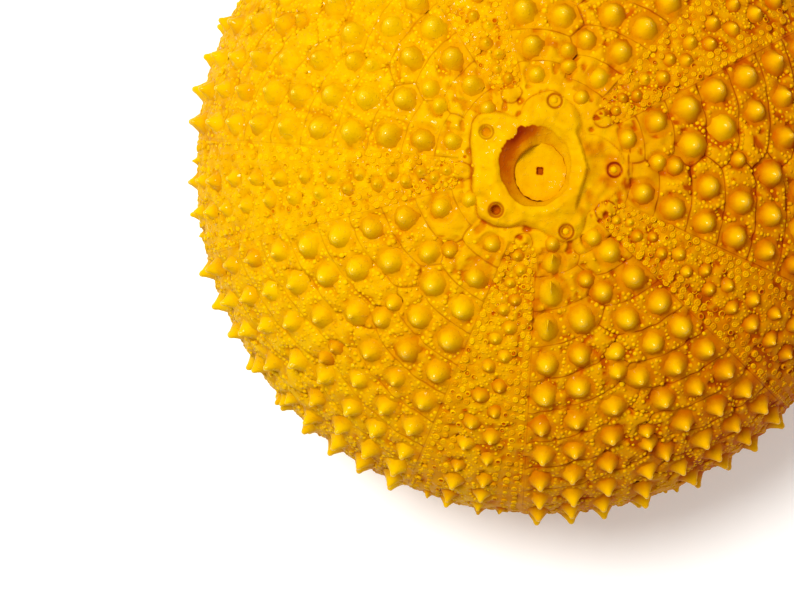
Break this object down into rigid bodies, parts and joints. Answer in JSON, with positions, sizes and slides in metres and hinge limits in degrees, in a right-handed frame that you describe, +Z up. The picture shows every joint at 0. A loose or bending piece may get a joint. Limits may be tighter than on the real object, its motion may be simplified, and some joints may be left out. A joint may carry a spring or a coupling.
{
  "type": "sea urchin shell",
  "caption": "Dry, spineless shell of a regular sea urchin: a low hollow dome with rows of tubercles, pore bands, an apical opening with its disc, and a mouth opening underneath.",
  "frame": {"origin": "on the resting plane, under the middle of the shell, on the axis from mouth to apex", "axes": "+Z up along the axis from mouth to apex; +X and +Y across the shell, with one of the five pore bands near -X"},
  "size_m": [0.0893, 0.0899, 0.0454],
  "materials": {
    "shell": "glossy dyed calcite, saturated yellow",
    "periproct_disc": "smooth dyed yellow, satin"
  },
  "bodies": {
    "root": {"shell": "shell", "periproct_disc": "periproct_disc"}
  },
  "joints": []
}
